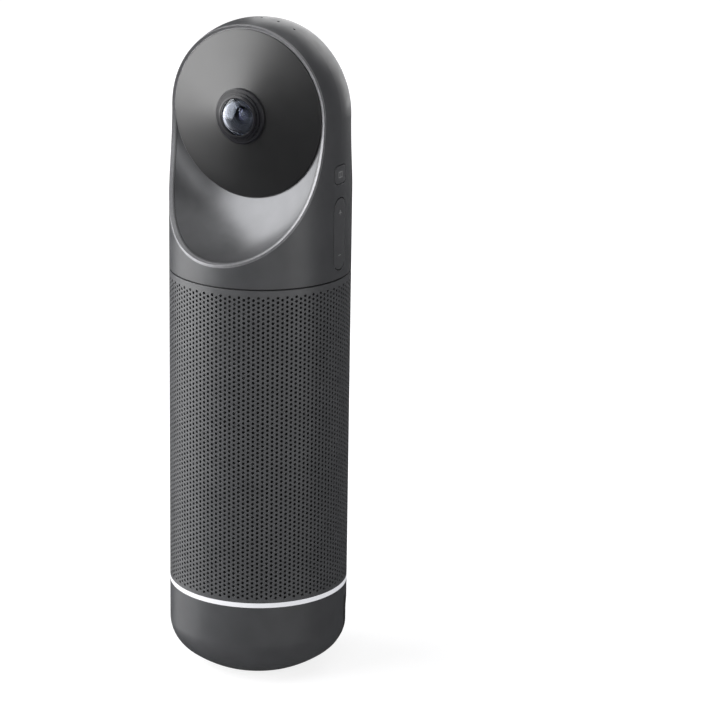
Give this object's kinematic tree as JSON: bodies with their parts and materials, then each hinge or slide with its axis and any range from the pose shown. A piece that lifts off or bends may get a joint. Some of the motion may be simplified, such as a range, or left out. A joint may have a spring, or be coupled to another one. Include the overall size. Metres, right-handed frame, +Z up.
{
  "type": "conference camera",
  "caption": "Round column conference camera with a fisheye lens front and rear, a perforated speaker section, a light ring and a recessed port bay.",
  "frame": {"origin": "middle of the rubber foot, on the surface that the column stands on", "axes": "+Z up along the column, front lens faces -Y, buttons on the +X side, ports face +Y"},
  "size_m": [0.082, 0.082, 0.3006],
  "materials": {
    "shell": "fine satin metallic grey",
    "dish": "satin metallic grey, finely spun",
    "edge": "bright cut edge",
    "grille": "satin grey perforated sheet",
    "face": "glossy black",
    "lens_ring": "black, turned steps",
    "lens_glass": "coated optical glass",
    "black_plastic": "black moulded",
    "button": "satin grey",
    "light": "lit white diffuser",
    "rubber": "matt rubber",
    "cloth": "black sound cloth",
    "steel": "plated steel",
    "iron": "cast weight",
    "brass": "turned brass",
    "aluminium": "die cast",
    "circuit_board": "green solder mask",
    "flex": "amber film"
  },
  "bodies": {
    "column": {"foot_pad": "rubber", "base_shell": "shell", "base_plate": "steel", "ballast": "iron", "tripod_insert": "brass", "base_screws": "steel", "port_bay": "black_plastic", "port_board": "circuit_board", "audio_jack": "black_plastic", "usb_c_port": "steel", "hdmi_port": "steel", "lan_port": "steel", "power_jack": "black_plastic", "deck": "black_plastic", "led_board": "circuit_board", "light_ring": "light", "grille": "grille", "sound_cloth": "cloth", "electronics_frame": "black_plastic", "frame_screws": "steel", "main_board": "circuit_board", "processor_heatsink": "aluminium", "shield_cans": "steel", "wifi_antennas": "circuit_board", "speaker_box": "black_plastic", "driver_frame": "steel", "driver_magnet": "iron", "driver_surround": "rubber", "driver_screws": "steel", "radiator_frame": "steel", "radiator_surround": "rubber", "ribbon_cables": "flex", "bulkhead": "black_plastic", "bulkhead_screws": "steel", "lens_chassis": "aluminium", "head_shell": "shell", "front_edge": "edge", "rear_edge": "edge", "front_dish": "dish", "rear_dish": "dish", "front_face": "face", "rear_face": "face", "front_lens_ring": "lens_ring", "rear_lens_ring": "lens_ring", "front_glass": "lens_glass", "rear_glass": "lens_glass", "front_barrel": "black_plastic", "rear_barrel": "black_plastic", "front_sensor": "circuit_board", "rear_sensor": "circuit_board", "mic_array": "circuit_board", "button_bracket": "black_plastic", "button_board": "circuit_board", "tact_switches": "steel", "rocker_pin": "steel"},
    "driver_cone": {"driver_cone": "black_plastic"},
    "radiator_plate": {"radiator_plate": "aluminium"},
    "mode_button": {"mode_button": "button"},
    "volume_rocker": {"volume_rocker": "button"}
  },
  "joints": [
    {"name": "mode_press", "type": "slide", "parent": "column", "child": "mode_button", "axis": [-1, 0, 0], "range_m": [0, 0.0005], "stiffness_N_per_m": 800},
    {"name": "volume_rock", "type": "hinge", "parent": "column", "child": "volume_rocker", "pos_m": [0.036, 0, 0.2081], "axis": [0, 1, 0], "range_deg": [-2, 2], "stiffness_Nm_per_rad": 0.6},
    {"name": "driver_stroke", "type": "slide", "parent": "column", "child": "driver_cone", "axis": [0, -1, 0], "range_m": [-0.002, 0.002], "stiffness_N_per_m": 1500},
    {"name": "radiator_stroke", "type": "slide", "parent": "column", "child": "radiator_plate", "axis": [0, 1, 0], "range_m": [-0.003, 0.003], "stiffness_N_per_m": 800}
  ]
}
